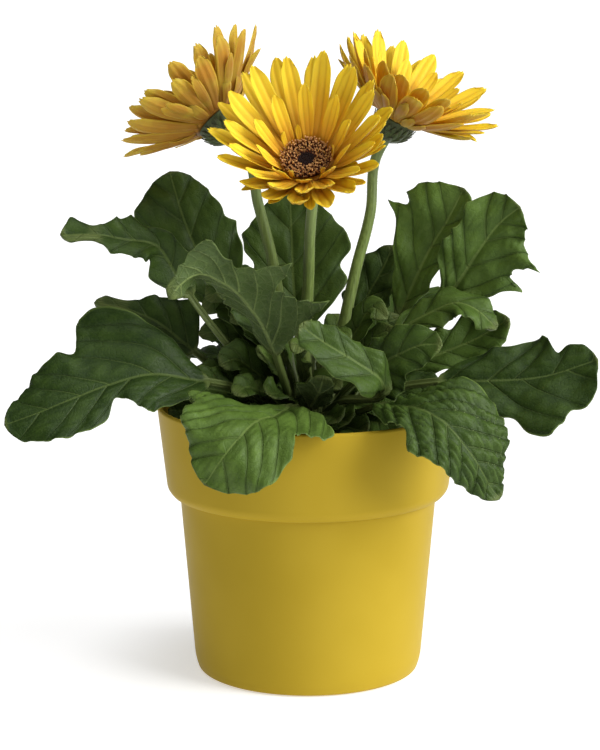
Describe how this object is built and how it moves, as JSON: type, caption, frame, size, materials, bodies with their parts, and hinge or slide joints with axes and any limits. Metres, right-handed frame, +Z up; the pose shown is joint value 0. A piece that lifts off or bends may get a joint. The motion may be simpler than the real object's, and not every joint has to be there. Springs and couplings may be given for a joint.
{
  "type": "potted gerbera",
  "caption": "Flowering gerbera with yellow daisy blooms on bare stalks over a rosette of lobed, wavy leaves, standing in a round banded pot filled with soil.",
  "frame": {"origin": "centre of the pot's flat underside, on the surface it stands on", "axes": "+Z up, -Y towards the side the front bloom faces, +X to the right seen from there"},
  "size_m": [0.3132, 0.2478, 0.3536],
  "materials": {
    "pot": "gloss",
    "soil": "matte",
    "crown": "matte",
    "leaf": "satin",
    "scape": "satin",
    "calyx": "matte",
    "petals": "satin",
    "disc": "matte"
  },
  "bodies": {
    "root": {"pot": "pot", "soil": "soil", "crown": "crown", "leaf_left_low": "leaf", "leaf_left_mid": "leaf", "leaf_left_high": "leaf", "leaf_left_round": "leaf", "leaf_back_tall": "leaf", "leaf_front_fold": "leaf", "leaf_front_drape": "leaf", "leaf_front_mid": "leaf", "leaf_front_inner": "leaf", "leaf_right_high": "leaf", "leaf_right_tall": "leaf", "leaf_right_mid": "leaf", "leaf_right_small": "leaf", "leaf_right_up_low": "leaf", "leaf_right_low": "leaf", "leaf_right_front": "leaf", "leaf_back_right_tall": "leaf", "leaf_left_inner": "leaf", "leaf_right_inner": "leaf", "leaf_back_left_mid": "leaf", "leaf_back_right_mid": "leaf", "leaf_back_left_low": "leaf", "leaf_back_low": "leaf", "leaf_back_right_low": "leaf", "scape_front": "scape", "calyx_front": "calyx", "petals_front": "petals", "disc_front": "disc", "scape_left": "scape", "calyx_left": "calyx", "petals_left": "petals", "disc_left": "disc", "scape_right": "scape", "calyx_right": "calyx", "petals_right": "petals", "disc_right": "disc"}
  },
  "joints": []
}
